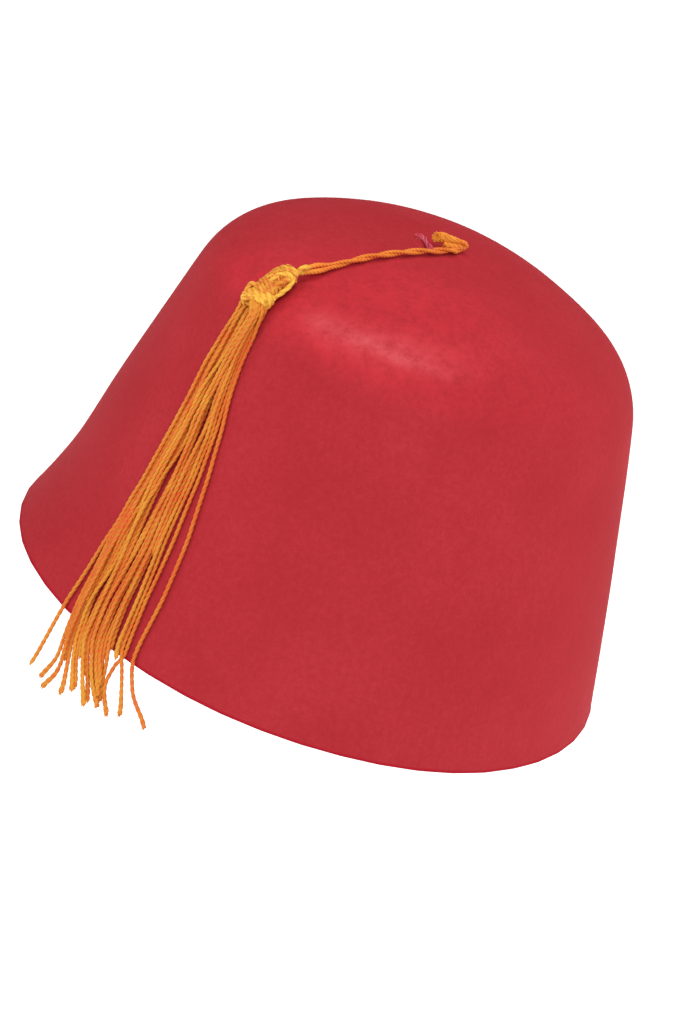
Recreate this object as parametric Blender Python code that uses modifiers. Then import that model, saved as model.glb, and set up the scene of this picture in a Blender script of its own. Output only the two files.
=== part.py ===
"""Fez: a moulded felt crown with a cord and tassel.

Metres, +Z up. The origin is the middle of the rim's opening, in the plane of the rim. -Y is the
front, and the rim is longer from front to back. A place on the felt is given by its run, which is
the way down the crown's profile from the top, and its azimuth, counted from -Y towards -X.
"""

import math
from collections import namedtuple

import bmesh
import bpy
from mathutils import Matrix, Vector

# Crown
RIM_HALF_LENGTH = 0.098
OVAL_RATIO = 0.92
CROWN_HEIGHT = 0.1212
WALL_TAPER = 0.2685
SHOULDER_RADIUS = 0.0276
DOME_RADIUS = 0.1274
FELT_THICKNESS = 0.002
AROUND_STEPS = 48
DOME_STEPS = 7
SHOULDER_STEPS = 5
WALL_STEPS = 10
WALL_CROWDING = 1.6

# Dents and bulges of the soft felt
TOP_TILT = 0.024
SIDE_SPREAD = math.radians(56)
FLARE = 0.0025
FLARE_HEIGHT = 0.0228
FLARE_AROUND = math.radians(203.5)
WAIST = 0.00135
WAIST_HEIGHT = 0.023
WAIST_SPREAD = 0.0157
BELLY = 0.00115
BELLY_SPREAD = math.radians(52)

# Cord and tassel
REST_LIFT = 0.00045
CORD_RADIUS = 0.001
CORD_SPACING = 0.0022
TASSEL_AZIMUTH = 40.9
KNOT_RUN = 0.0668
KNOT_LENGTH = 0.0100
KNOT_WIDTH = 0.0076
KNOT_THICKNESS = 0.0064
NECK_RUN = 0.0731
NECK_LENGTH = 0.0020
NECK_WIDTH = 0.0070
NECK_THICKNESS = 0.0054
NECK_ROUNDING = 0.12
SKIRT_ACROSS_STEPS = 10
SKIRT_STATION = 0.005
SKIRT_EDGE_SHARE = 0.3

# Fineness of the work
CURVE_STEPS = 8
HALVINGS = 30
SMALL_STEP = 0.001
MERGE_DISTANCE = 0.00005
SHARP_ANGLE = math.radians(50)

SkirtSection = namedtuple("SkirtSection", "run azimuth width thickness")
SKIRT_SECTIONS = (
    SkirtSection(run=0.0746, azimuth=41.2, width=0.0082, thickness=0.0050),
    SkirtSection(run=0.0790, azimuth=41.8, width=0.0112, thickness=0.0056),
    SkirtSection(run=0.0900, azimuth=40.4, width=0.0128, thickness=0.0050),
    SkirtSection(run=0.1100, azimuth=37.4, width=0.0178, thickness=0.0042),
    SkirtSection(run=0.1300, azimuth=35.4, width=0.0226, thickness=0.0038),
    SkirtSection(run=0.1500, azimuth=34.5, width=0.0272, thickness=0.0036),
    SkirtSection(run=0.1700, azimuth=33.6, width=0.0288, thickness=0.0034),
    SkirtSection(run=0.1850, azimuth=31.8, width=0.0296, thickness=0.0034),
    SkirtSection(run=0.1940, azimuth=31.0, width=0.0260, thickness=0.0026),
)

# The end of the cord, folded back on top of itself over the middle of the hat, from the tip to the free cord
EndPoint = namedtuple("EndPoint", "x y lift swell")
FOLDED_END = (
    EndPoint(x=-0.0063, y=-0.0089, lift=0.0030, swell=1.1),
    EndPoint(x=-0.0049, y=-0.0083, lift=0.0033, swell=1.5),
    EndPoint(x=-0.0030, y=-0.0076, lift=0.0034, swell=1.5),
    EndPoint(x=-0.0008, y=-0.0069, lift=0.0034, swell=1.45),
    EndPoint(x=0.0012, y=-0.0059, lift=0.0035, swell=1.15),
    EndPoint(x=0.0028, y=-0.0048, lift=0.0034, swell=1.0),
    EndPoint(x=0.0037, y=-0.0041, lift=0.0029, swell=0.95),
    EndPoint(x=0.0038, y=-0.0040, lift=0.0020, swell=0.95),
    EndPoint(x=0.0032, y=-0.0046, lift=0.0014, swell=0.95),
    EndPoint(x=0.0022, y=-0.0061, lift=0.0014, swell=1.0),
    EndPoint(x=0.0011, y=-0.0084, lift=0.0014, swell=1.0),
)

# The free cord's route, from the fold to the tassel's knot
CordPoint = namedtuple("CordPoint", "x y z")
CORD_ROUTE = (
    CordPoint(x=0.0006, y=-0.0092, z=0.1222),
    CordPoint(x=-0.0026, y=-0.0129, z=0.1219),
    CordPoint(x=-0.0059, y=-0.0161, z=0.1215),
    CordPoint(x=-0.0094, y=-0.0193, z=0.1209),
    CordPoint(x=-0.0129, y=-0.0224, z=0.1201),
    CordPoint(x=-0.0165, y=-0.0255, z=0.1191),
    CordPoint(x=-0.0201, y=-0.0286, z=0.1179),
    CordPoint(x=-0.0237, y=-0.0318, z=0.1164),
    CordPoint(x=-0.0270, y=-0.0348, z=0.1148),
    CordPoint(x=-0.0302, y=-0.0375, z=0.1133),
    CordPoint(x=-0.0331, y=-0.0399, z=0.1120),
    CordPoint(x=-0.0357, y=-0.0420, z=0.1111),
    CordPoint(x=-0.0376, y=-0.0438, z=0.1105),
)


def wall_slope():
    """The unit vector down the wall's profile, as (radius, height)."""
    return Vector((WALL_TAPER, -1.0)).normalized()


def shoulder_centre():
    """The centre of the shoulder's arc, which touches the wall's line and the dome's circle."""
    down = wall_slope()
    outward = Vector((-down.y, down.x))
    start = Vector((RIM_HALF_LENGTH, 0.0)) - outward * SHOULDER_RADIUS
    from_dome = start - Vector((0.0, CROWN_HEIGHT - DOME_RADIUS))
    along = from_dome.dot(down)
    reach = DOME_RADIUS - SHOULDER_RADIUS
    up_the_wall = along + math.sqrt(along**2 - from_dome.length_squared + reach**2)
    return start - down * up_the_wall


SHOULDER_CENTRE = shoulder_centre()
DOME_CENTRE = Vector((0.0, CROWN_HEIGHT - DOME_RADIUS))
DOME_ANGLE = (SHOULDER_CENTRE - DOME_CENTRE).angle(Vector((0.0, 1.0)))
WALL_ANGLE = math.pi / 2 - math.atan(WALL_TAPER)
DOME_RUN = DOME_RADIUS * DOME_ANGLE
SHOULDER_RUN = DOME_RUN + SHOULDER_RADIUS * (WALL_ANGLE - DOME_ANGLE)
WALL_TOP = SHOULDER_CENTRE + Vector((math.sin(WALL_ANGLE), math.cos(WALL_ANGLE))) * SHOULDER_RADIUS
RIM_RUN = SHOULDER_RUN + (Vector((RIM_HALF_LENGTH, 0.0)) - WALL_TOP).length


def profile_point(run, lift):
    """The round crown's (radius, height) at a run down the profile, lifted off the felt's outer side."""
    if run < SHOULDER_RUN:
        on_dome = run < DOME_RUN
        centre = DOME_CENTRE if on_dome else SHOULDER_CENTRE
        arc = DOME_RADIUS if on_dome else SHOULDER_RADIUS
        angle = run / DOME_RADIUS if on_dome else DOME_ANGLE + (run - DOME_RUN) / SHOULDER_RADIUS
        return centre + Vector((math.sin(angle), math.cos(angle))) * (arc + lift)
    down = wall_slope()
    outward = Vector((-down.y, down.x))
    return WALL_TOP + down * (run - SHOULDER_RUN) + outward * lift


def nearness(angle, middle, spread):
    """1 at the middle angle, fading to 0 on both sides of it."""
    away = math.remainder(angle - middle, math.tau)
    return math.exp(-((away / spread) ** 2))


def soften(around, radius, height):
    """Where a point of the round crown lies on the real one: oval, tilted, flared and dented."""
    low = min(max(1 - height / FLARE_HEIGHT, 0.0), 1.0)
    flare = FLARE * low**2
    waist = WAIST * math.exp(-(((height - WAIST_HEIGHT) / WAIST_SPREAD) ** 2))
    belly = BELLY * math.sin(math.pi * min(max(height / CROWN_HEIGHT, 0.0), 1.0))
    radius += (flare - waist) * nearness(around, FLARE_AROUND, SIDE_SPREAD)
    radius += belly * nearness(around, 0.0, BELLY_SPREAD)
    x = radius * OVAL_RATIO * math.cos(around)
    y = radius * math.sin(around)
    return Vector((x, y, height - TOP_TILT * x * height / CROWN_HEIGHT))


def felt_point(run, azimuth, lift):
    """A point above the felt of the finished crown."""
    turn = math.radians(azimuth)
    around = math.atan2(-math.cos(turn), -math.sin(turn) / OVAL_RATIO)
    return soften(around, *profile_point(run, lift))


def felt_frame(run, azimuth, lift):
    """A matrix on the felt: X runs down the crown, Y across it and Z straight off the felt."""
    place = felt_point(run, azimuth, lift)
    above = felt_point(run - SMALL_STEP, azimuth, lift)
    below = felt_point(run + SMALL_STEP, azimuth, lift)
    down = (below - above).normalized()
    off = felt_point(run, azimuth, lift + SMALL_STEP) - place
    off = (off - down * off.dot(down)).normalized()
    axes = Matrix((down, off.cross(down), off)).transposed()
    return Matrix.Translation(place) @ axes.to_4x4()


def top_point(x, y, lift):
    """A point at that x and y above the dome or the shoulder."""
    around = math.atan2(y, x / OVAL_RATIO)
    radius = math.hypot(x / OVAL_RATIO, y)
    low, high = 0.0, SHOULDER_RUN
    for _ in range(HALVINGS):
        middle = (low + high) / 2
        if profile_point(middle, lift).x < radius:
            low = middle
        else:
            high = middle
    return soften(around, *profile_point(low, lift))


def collection(name):
    made = bpy.data.collections.new(name)
    bpy.context.scene.collection.children.link(made)
    return made


def material(name, colour, roughness):
    """A plain matt finish. Colours are linear RGB."""
    made = bpy.data.materials.new(name)
    made.use_nodes = True
    shader = made.node_tree.nodes["Principled BSDF"]
    shader.inputs["Base Color"].default_value = (*colour, 1.0)
    shader.inputs["Roughness"].default_value = roughness
    shader.inputs["Metallic"].default_value = 0.0
    return made


def add_object(name, data, finish, group):
    made = bpy.data.objects.new(name, data)
    data.materials.append(finish)
    group.objects.link(made)
    return made


def finished_mesh(bm, name):
    """Closes the work on a mesh: one smooth skin that faces out."""
    bmesh.ops.recalc_face_normals(bm, faces=bm.faces)
    mesh = bpy.data.meshes.new(name)
    bm.to_mesh(mesh)
    bm.free()
    mesh.shade_smooth()
    mesh.set_sharp_from_angle(angle=SHARP_ANGLE)
    return mesh


def runs_between(start, stop, steps, crowding=1.0):
    """Runs after the start up to the stop. A crowding over 1 sets them closer towards the stop."""
    shares = [1 - (1 - i / steps) ** crowding for i in range(1, steps + 1)]
    return [start + (stop - start) * share for share in shares]


def crown_runs():
    """The runs of the crown's rings below its top."""
    dome = runs_between(0.0, DOME_RUN, DOME_STEPS)
    shoulder = runs_between(DOME_RUN, SHOULDER_RUN, SHOULDER_STEPS)
    wall = runs_between(SHOULDER_RUN, RIM_RUN, WALL_STEPS, WALL_CROWDING)
    return dome + shoulder + wall


def felt_crown(group, finish):
    """The profile of the felt, turned into a round shell and then eased into the real hat's shape."""
    runs = crown_runs()
    outer = [profile_point(run, 0.0) for run in [0.0, *runs]]
    level_cut = FELT_THICKNESS * WALL_TAPER
    inner = [profile_point(run, -FELT_THICKNESS) for run in [0.0, *runs[:-1], RIM_RUN - level_cut]]
    profile = [(point.x, 0.0, point.y) for point in outer + inner[::-1]]
    edges = [(i, i + 1) for i in range(len(profile) - 1)]
    outline = bpy.data.meshes.new("crown_profile")
    outline.from_pydata(profile, edges, [])
    turned = bpy.data.objects.new("crown_profile", outline)
    group.objects.link(turned)
    screw = turned.modifiers.new("Turn", "SCREW")
    screw.steps = screw.render_steps = AROUND_STEPS
    screw.use_merge_vertices = True
    screw.merge_threshold = MERGE_DISTANCE
    seen = turned.evaluated_get(bpy.context.evaluated_depsgraph_get())
    bm = bmesh.new()
    bm.from_mesh(seen.to_mesh())
    bpy.data.objects.remove(turned)
    bpy.data.meshes.remove(outline)
    bmesh.ops.remove_doubles(bm, verts=bm.verts, dist=MERGE_DISTANCE)
    for vert in bm.verts:
        x, y, height = vert.co
        vert.co = soften(math.atan2(y, x), math.hypot(x, y), height)
    return add_object("felt_crown", finished_mesh(bm, "felt_crown"), finish, group)


def tube(name, points, swells, group, finish):
    """A cord through the points, as a chain of short straight runs with closed ends."""
    curve = bpy.data.curves.new(name, "CURVE")
    curve.dimensions = "3D"
    curve.bevel_depth = CORD_RADIUS
    curve.bevel_resolution = 2
    curve.use_fill_caps = True
    spline = curve.splines.new("POLY")
    spline.points.add(len(points) - 1)
    for at, point, swell in zip(spline.points, points, swells):
        at.co = (*point, 1.0)
        at.radius = swell
    return add_object(name, curve, finish, group)


def curve_point(before, start, stop, after, t):
    """A point at the share t of the smooth curve from start to stop, with a neighbour on each side."""
    slope = stop - before
    curl = before * 2 - start * 5 + stop * 4 - after
    twist = (start - stop) * 3 + after - before
    return start + (slope * t + curl * t**2 + twist * t**3) / 2


def smooth_route(points, spacing):
    """Points at even spacing along a smooth curve through the given ones."""
    ends = [points[0] * 2 - points[1], *points, points[-1] * 2 - points[-2]]
    line = [points[0]]
    for stretch in zip(ends, ends[1:], ends[2:], ends[3:]):
        line += [curve_point(*stretch, i / CURVE_STEPS) for i in range(1, CURVE_STEPS + 1)]
    lengths = [0.0]
    for a, b in zip(line, line[1:]):
        lengths.append(lengths[-1] + (b - a).length)
    count = round(lengths[-1] / spacing)
    even = [line[0]]
    at = 1
    for i in range(1, count):
        want = lengths[-1] * i / count
        while lengths[at] < want:
            at += 1
        share = (want - lengths[at - 1]) / (lengths[at] - lengths[at - 1])
        even.append(line[at - 1].lerp(line[at], share))
    return [*even, line[-1]]


def cord_end_fold(group, finish):
    """The stitched end of the cord, turned back on top of itself and thicker towards its loosened tip."""
    points = [top_point(p.x, p.y, p.lift) for p in FOLDED_END]
    return tube("cord_end_fold", points, [p.swell for p in FOLDED_END], group, finish)


def tassel_cord(group, finish):
    points = smooth_route([Vector(p) for p in CORD_ROUTE], CORD_SPACING)
    return tube("tassel_cord", points, [1.0] * len(points), group, finish)


def tassel_knot(group, finish):
    """A round wad of wrapped thread, longer down the crown than across."""
    bm = bmesh.new()
    bmesh.ops.create_uvsphere(bm, u_segments=16, v_segments=10, radius=0.5)
    place = felt_frame(KNOT_RUN, TASSEL_AZIMUTH, REST_LIFT + KNOT_THICKNESS / 2)
    size = Matrix.Diagonal((KNOT_LENGTH, KNOT_WIDTH, KNOT_THICKNESS, 1.0))
    on_end = Matrix.Rotation(math.pi / 2, 4, "Y")
    bmesh.ops.transform(bm, matrix=place @ size @ on_end, verts=bm.verts)
    return add_object("tassel_knot", finished_mesh(bm, "tassel_knot"), finish, group)


def neck_binding(group, finish):
    """A short flattened band of turns round the top of the strands."""
    bm = bmesh.new()
    bmesh.ops.create_cone(bm, cap_ends=True, segments=20, radius1=0.5, radius2=0.5, depth=1.0)
    rims = [edge for edge in bm.edges if len({round(v.co.z, 3) for v in edge.verts}) == 1]
    bmesh.ops.bevel(bm, geom=rims, offset=NECK_ROUNDING, segments=2, affect="EDGES")
    place = felt_frame(NECK_RUN, TASSEL_AZIMUTH, REST_LIFT + NECK_THICKNESS / 2)
    size = Matrix.Diagonal((NECK_LENGTH, NECK_WIDTH, NECK_THICKNESS, 1.0))
    on_end = Matrix.Rotation(math.pi / 2, 4, "Y")
    bmesh.ops.transform(bm, matrix=place @ size @ on_end, verts=bm.verts)
    return add_object("neck_binding", finished_mesh(bm, "neck_binding"), finish, group)


def skirt_section(run):
    """The skirt's width, thickness and azimuth at a run, eased between the table's rows."""
    for above, below in zip(SKIRT_SECTIONS, SKIRT_SECTIONS[1:]):
        if run <= below.run:
            break
    share = min((run - above.run) / (below.run - above.run), 1.0)
    return SkirtSection(*(a + (b - a) * share for a, b in zip(above, below)))


def skirt_ring(section):
    """The outline of one section: across the outer side, and back on the side that faces the felt."""
    radius = profile_point(section.run, 0.0).x
    ring = []
    for i in range(SKIRT_ACROSS_STEPS * 2):
        turn = math.pi * i / SKIRT_ACROSS_STEPS
        across, crest = -math.cos(turn), math.sin(turn)
        rise = crest * (1 - SKIRT_EDGE_SHARE if crest > 0 else SKIRT_EDGE_SHARE)
        lift = REST_LIFT + section.thickness * (SKIRT_EDGE_SHARE + rise)
        azimuth = section.azimuth + math.degrees(across * section.width / 2 / radius)
        ring.append(felt_point(section.run, azimuth, lift))
    return ring


def tassel_skirt(group, finish):
    """The outer form of the strands, a fan lofted down the felt and past the rim."""
    first, last = SKIRT_SECTIONS[0].run, SKIRT_SECTIONS[-1].run
    count = round((last - first) / SKIRT_STATION)
    runs = [first + (last - first) * i / count for i in range(count + 1)]
    bm = bmesh.new()
    rings = [[bm.verts.new(point) for point in skirt_ring(skirt_section(run))] for run in runs]
    for upper, lower in zip(rings, rings[1:]):
        for i in range(len(upper)):
            j = (i + 1) % len(upper)
            bm.faces.new((upper[i], upper[j], lower[j], lower[i]))
    bm.faces.new(rings[0])
    bm.faces.new(rings[-1])
    return add_object("tassel_skirt", finished_mesh(bm, "tassel_skirt"), finish, group)


def main():
    for old in list(bpy.data.objects):
        bpy.data.objects.remove(old)
    group = collection("fez_hat")
    felt_crown(group, material("red_felt", (0.50, 0.038, 0.045), 0.92))
    cord_end_fold(group, material("fold_thread", (0.75, 0.25, 0.035), 0.60))
    tassel_cord(group, material("cord_thread", (0.72, 0.22, 0.030), 0.60))
    tassel_knot(group, material("knot_thread", (0.80, 0.32, 0.045), 0.55))
    neck_binding(group, material("binding_thread", (0.80, 0.33, 0.050), 0.55))
    tassel_skirt(group, material("skirt_thread", (0.66, 0.18, 0.030), 0.60))


main()
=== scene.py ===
import math

import bmesh
import bpy
import numpy as np
from mathutils import Matrix, Vector, noise
from mathutils.bvhtree import BVHTree


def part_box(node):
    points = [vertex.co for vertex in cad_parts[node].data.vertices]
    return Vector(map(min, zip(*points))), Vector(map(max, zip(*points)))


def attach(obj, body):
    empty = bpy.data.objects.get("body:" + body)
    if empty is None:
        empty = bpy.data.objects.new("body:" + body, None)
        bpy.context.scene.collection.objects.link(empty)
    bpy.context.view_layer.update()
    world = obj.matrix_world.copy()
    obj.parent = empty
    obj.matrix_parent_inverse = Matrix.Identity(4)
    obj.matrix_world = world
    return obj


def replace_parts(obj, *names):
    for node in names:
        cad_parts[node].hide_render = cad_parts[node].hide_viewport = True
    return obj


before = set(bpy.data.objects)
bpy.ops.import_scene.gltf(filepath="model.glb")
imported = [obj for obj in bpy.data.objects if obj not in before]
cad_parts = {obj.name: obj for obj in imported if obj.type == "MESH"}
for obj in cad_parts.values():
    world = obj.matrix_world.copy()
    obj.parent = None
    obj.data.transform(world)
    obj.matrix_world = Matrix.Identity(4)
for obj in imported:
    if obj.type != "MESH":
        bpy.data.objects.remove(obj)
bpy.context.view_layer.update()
mm = 0.001  # sizes below that are times mm are in millimetres
fullTurn = 2 * math.pi
chance = np.random.default_rng(7)  # the one source of every random choice


def addObject(name, data):
    made = bpy.data.objects.new(name, data)
    bpy.context.scene.collection.objects.link(made)
    return made


def addMesh(name, points, faces, material):
    mesh = bpy.data.meshes.new(name)
    mesh.from_pydata(points, [], faces)
    mesh.materials.append(material)
    return addObject(name, mesh)


# Camera

cameraSetup = {
    "aim": (0.0, 0.0, 0.0606),  # middle of the hat's height
    "aimPixel": (382.0, 425.7),  # where that point falls in the picture
    "picture": (683, 1024),
    "distance": 1.176,
    "elevation": 20.51,
    "roll": 21.67,
    "lens": 140.0,
    "sensor": 36.0,
}


def makeCamera(setup):
    tip, roll = math.radians(setup["elevation"]), math.radians(setup["roll"])
    back = Vector((0, -math.cos(tip), math.sin(tip)))
    level = Vector((1, 0, 0))
    over = back.cross(level)
    right = level * math.cos(roll) + over * math.sin(roll)
    up = over * math.cos(roll) - level * math.sin(roll)
    wide, high = setup["picture"]
    focal = setup["lens"] / setup["sensor"] * high
    aside = (setup["aimPixel"][0] - wide / 2) / focal
    above = (high / 2 - setup["aimPixel"][1]) / focal
    ahead = (-back - right * aside - up * above).normalized()
    right = (right - ahead * right.dot(ahead)).normalized()
    data = bpy.data.cameras.new("camera")
    data.lens, data.sensor_width = setup["lens"], setup["sensor"]
    camera = addObject("camera", data)
    turn = Matrix((right, right.cross(ahead), -ahead)).transposed().to_4x4()
    camera.matrix_world = Matrix.Translation(Vector(setup["aim"]) + back * setup["distance"]) @ turn
    bpy.context.scene.camera = camera
    return camera.matrix_world.inverted(), focal


toCamera, focalPixels = makeCamera(cameraSetup)
bpy.context.scene.view_settings.view_transform = "Standard"
print("camera set")


# Shader maths

def plug(slot, value):  # a link, or a number or tuple that is set on the socket itself
    if isinstance(value, Wire):
        slot.id_data.links.new(value.socket, slot)
    elif hasattr(slot.default_value, "__len__"):
        size = len(slot.default_value)
        parts = list(value) if hasattr(value, "__len__") else [value] * size
        slot.default_value = (parts + [1.0])[:size]
    else:
        slot.default_value = value


class Wire:
    # an output socket; a sum written on it adds the Math or Vector Math node that works it out
    def __init__(self, socket):
        self.socket = socket

    def join(self, operation, first, second):
        parts = (first, second)
        vector = any(isinstance(part, tuple) for part in parts) or any(
            isinstance(part, Wire) and part.socket.type != "VALUE" for part in parts
        )
        node = self.socket.id_data.nodes.new("ShaderNodeVectorMath" if vector else "ShaderNodeMath")
        node.operation = operation
        for slot, part in zip(node.inputs, parts):
            plug(slot, part)
        return Wire(node.outputs[0])

    def __add__(self, other):
        return self.join("ADD", self, other)

    def __radd__(self, other):
        return self.join("ADD", other, self)

    def __sub__(self, other):
        return self.join("SUBTRACT", self, other)

    def __rsub__(self, other):
        return self.join("SUBTRACT", other, self)

    def __mul__(self, other):
        return self.join("MULTIPLY", self, other)

    def __rmul__(self, other):
        return self.join("MULTIPLY", other, self)


class Finish:
    # one material: its shader's fixed values, and the nodes that vary over the surface
    def __init__(self, name, **fixed):
        self.material = bpy.data.materials.new(name)
        self.material.use_nodes = True
        self.tree = self.material.node_tree
        self.shader = self.tree.nodes["Principled BSDF"]
        for socket, value in fixed.items():
            plug(self.shader.inputs[socket.replace("_", " ")], value)

    def node(self, kind, settings=None, sockets=None, take=0):
        node = self.tree.nodes.new(kind)
        for setting, value in (settings or {}).items():
            if setting == "stops":
                stops = node.color_ramp.elements
                while len(stops) < len(value):
                    stops.new(1.0)
                for stop, (place, shade) in zip(stops, value):
                    stop.position, stop.color = place, (*shade, 1.0)
            else:
                setattr(node, setting, value)
        for name, value in (sockets or {}).items():
            plug(node.inputs[name], value)
        return Wire(node.outputs[take])

    def place(self):
        return self.node("ShaderNodeTexCoord", take="Object")

    def noise(self, place, scale, detail=2.0, roughness=0.5):
        values = {"Vector": place, "Scale": scale, "Detail": detail, "Roughness": roughness}
        return self.node("ShaderNodeTexNoise", sockets=values)

    def ramp(self, share, *stops):
        return self.node("ShaderNodeValToRGB", {"stops": stops}, {"Fac": share})

    def between(self, value, low, high):  # 0 up to low, 1 from high, and smooth between them
        settings = {"interpolation_type": "SMOOTHSTEP"}
        return self.node("ShaderNodeMapRange", settings, {"Value": value, "From Min": low, "From Max": high})

    def mix(self, share, low, high):
        return self.node("ShaderNodeMix", {"data_type": "RGBA"}, {0: share, 6: low, 7: high}, take=2)

    def attribute(self, name):
        return self.node("ShaderNodeAttribute", {"attribute_name": name}, take="Fac")

    def bump(self, height, distance, strength=1.0):
        values = {"Height": height, "Distance": distance, "Strength": strength}
        return self.node("ShaderNodeBump", sockets=values)

    def paint(self, **varying):
        for socket, wire in varying.items():
            plug(self.shader.inputs[socket.replace("_", " ")], wire)
        return self.material


def shade(red, green, blue):  # a picture's 0 to 255 colour as the linear one that nodes take
    parts = (red / 255, green / 255, blue / 255)
    return tuple(p / 12.92 if p <= 0.04045 else ((p + 0.055) / 1.055) ** 2.4 for p in parts)


# Floor and light

studio = {
    "floorHeight": -0.30,
    "floorHalf": 30.0,
    "floorShade": (0.93, 0.93, 0.93),
    "floorDarkest": (0.9207, 0.9207, 0.9207),
    "floorGrain": 60.0,
    "floorGlow": 0.7,  # its own light, so that it shows as plain white
    "sky": (1.0, 1.0, 1.0),
    "skyStrength": 0.2,
    # place, what it points at, sides in metres, watts
    "lamps": {
        "frontSoftbox": ((0.0, -1.35, 1.35), cameraSetup["aim"], (1.0, 1.0), 15.0),
        "frontLeftSoftbox": ((-1.3, -1.3, 0.8), cameraSetup["aim"], (1.0, 1.0), 6.4),
        "rightSoftbox": ((1.8, 0.1, 0.5), cameraSetup["aim"], (1.0, 1.0), 11.5),
        "backRightSoftbox": ((1.2, 1.3, 0.7), cameraSetup["aim"], (1.0, 1.0), 7.0),
        "topStrip": ((-0.3, 0.05, 1.3), (-0.3, 0.05, 0.0), (1.5, 0.2), 9.0),
    },
}


def makeStudio(setup):
    half, height = setup["floorHalf"], setup["floorHeight"]
    corners = [(x * half, y * half, height) for x, y in ((-1, -1), (1, -1), (1, 1), (-1, 1))]
    paper = Finish("floorPaper", Roughness=0.9, Emission_Color=(1.0, 1.0, 1.0),
                   Emission_Strength=setup["floorGlow"])
    grain = paper.noise(paper.place(), setup["floorGrain"])
    paper.paint(Base_Color=paper.mix(grain, setup["floorDarkest"], setup["floorShade"]))
    # seen from below the floor is clear, so that it never hides the hat
    under = paper.node("ShaderNodeNewGeometry", take="Backfacing")
    clear = paper.node("ShaderNodeBsdfTransparent")
    top = Wire(paper.shader.outputs[0])
    shown = paper.node("ShaderNodeMixShader", sockets={0: under, 1: top, 2: clear})
    plug(paper.tree.nodes["Material Output"].inputs["Surface"], shown)
    floor = addMesh("floor", corners, [(0, 1, 2, 3)], paper.material)

    world = bpy.data.worlds.new("studioWorld")
    world.use_nodes = True
    glow = world.node_tree.nodes["Background"]
    plug(glow.inputs["Color"], setup["sky"])
    plug(glow.inputs["Strength"], setup["skyStrength"])
    bpy.context.scene.world = world

    for name, (spot, aim, (wide, deep), watts) in setup["lamps"].items():
        data = bpy.data.lights.new(name, "AREA")
        data.shape, data.size, data.size_y, data.energy = "RECTANGLE", wide, deep, watts
        lamp = addObject(name, data)
        ahead = Vector(aim) - Vector(spot)
        lamp.matrix_world = Matrix.Translation(spot) @ ahead.to_track_quat("-Z", "Y").to_matrix().to_4x4()


makeStudio(studio)
print("floor and lights set")


# Felt crown

feltCrown = {
    "weld": 0.01 * mm,
    "joinAngle": 40.0,
    "cornerAngle": 80.0,
    "rimCrease": 0.55,
    "rimNear": 0.3 * mm,  # an edge this near the plane of the rim is creased
    "levels": 2,
    "waves": ((45 * mm, 0.20 * mm), (17 * mm, 0.07 * mm)),  # length and height of the felt's unevenness
    "heart": (0.0, 0.0, 30 * mm),
    # how fine each pattern is, and how far the strokes down the wall are drawn out
    "cloudScale": 34.0,
    "matScale": 620.0,  # tangled fibres, about a millimetre across
    "hairScale": 2600.0,
    "strokeScale": 420.0,
    "strokeStretch": (1.0, 1.0, 0.16),
    "patchScale": 210.0,
    "scuffScale": 90.0,
    "relief": 0.3 * mm,
    "red": shade(173, 46, 53),
    "pale": shade(183, 54, 61),
    "deep": shade(164, 41, 47),
    # paler pink painted on the front shoulder and top: painted highlight and sheen
    "highlightPale": shade(200, 51, 60),
    "highlightBack": (-40 * mm, -14 * mm),  # the painted highlight and sheen end between these places from front to back
    "sheenFrom": (92 * mm, 101 * mm),  # heights from which the front turns a little paler, in spots: painted sheen
    "sheenRight": (-10 * mm, 35 * mm),  # and less so to the right of these
    "sheenLess": 0.7,
    # where the painted highlight band of the shoulder comes and goes, in height and from side to side
    "highlightLow": (100 * mm, 104.5 * mm),
    "highlightHigh": (105.5 * mm, 112 * mm),
    "highlightTilt": 0.12,  # how much higher it lies, for each metre to the right
    "highlightLeft": (-36 * mm, -24 * mm),
    "highlightRight": (-12 * mm, 36 * mm),
    "highlightGloss": 0.4,
    "scuffedLow": (2 * mm, 26 * mm),  # heights over which the scuffs above the rim die out
    "scuffShare": 0.3,
    "cutEdge": shade(170, 24, 40),
    "cutHeight": (0.44 * mm, 1.1 * mm),
    "cutShare": 0.85,
}


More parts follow.
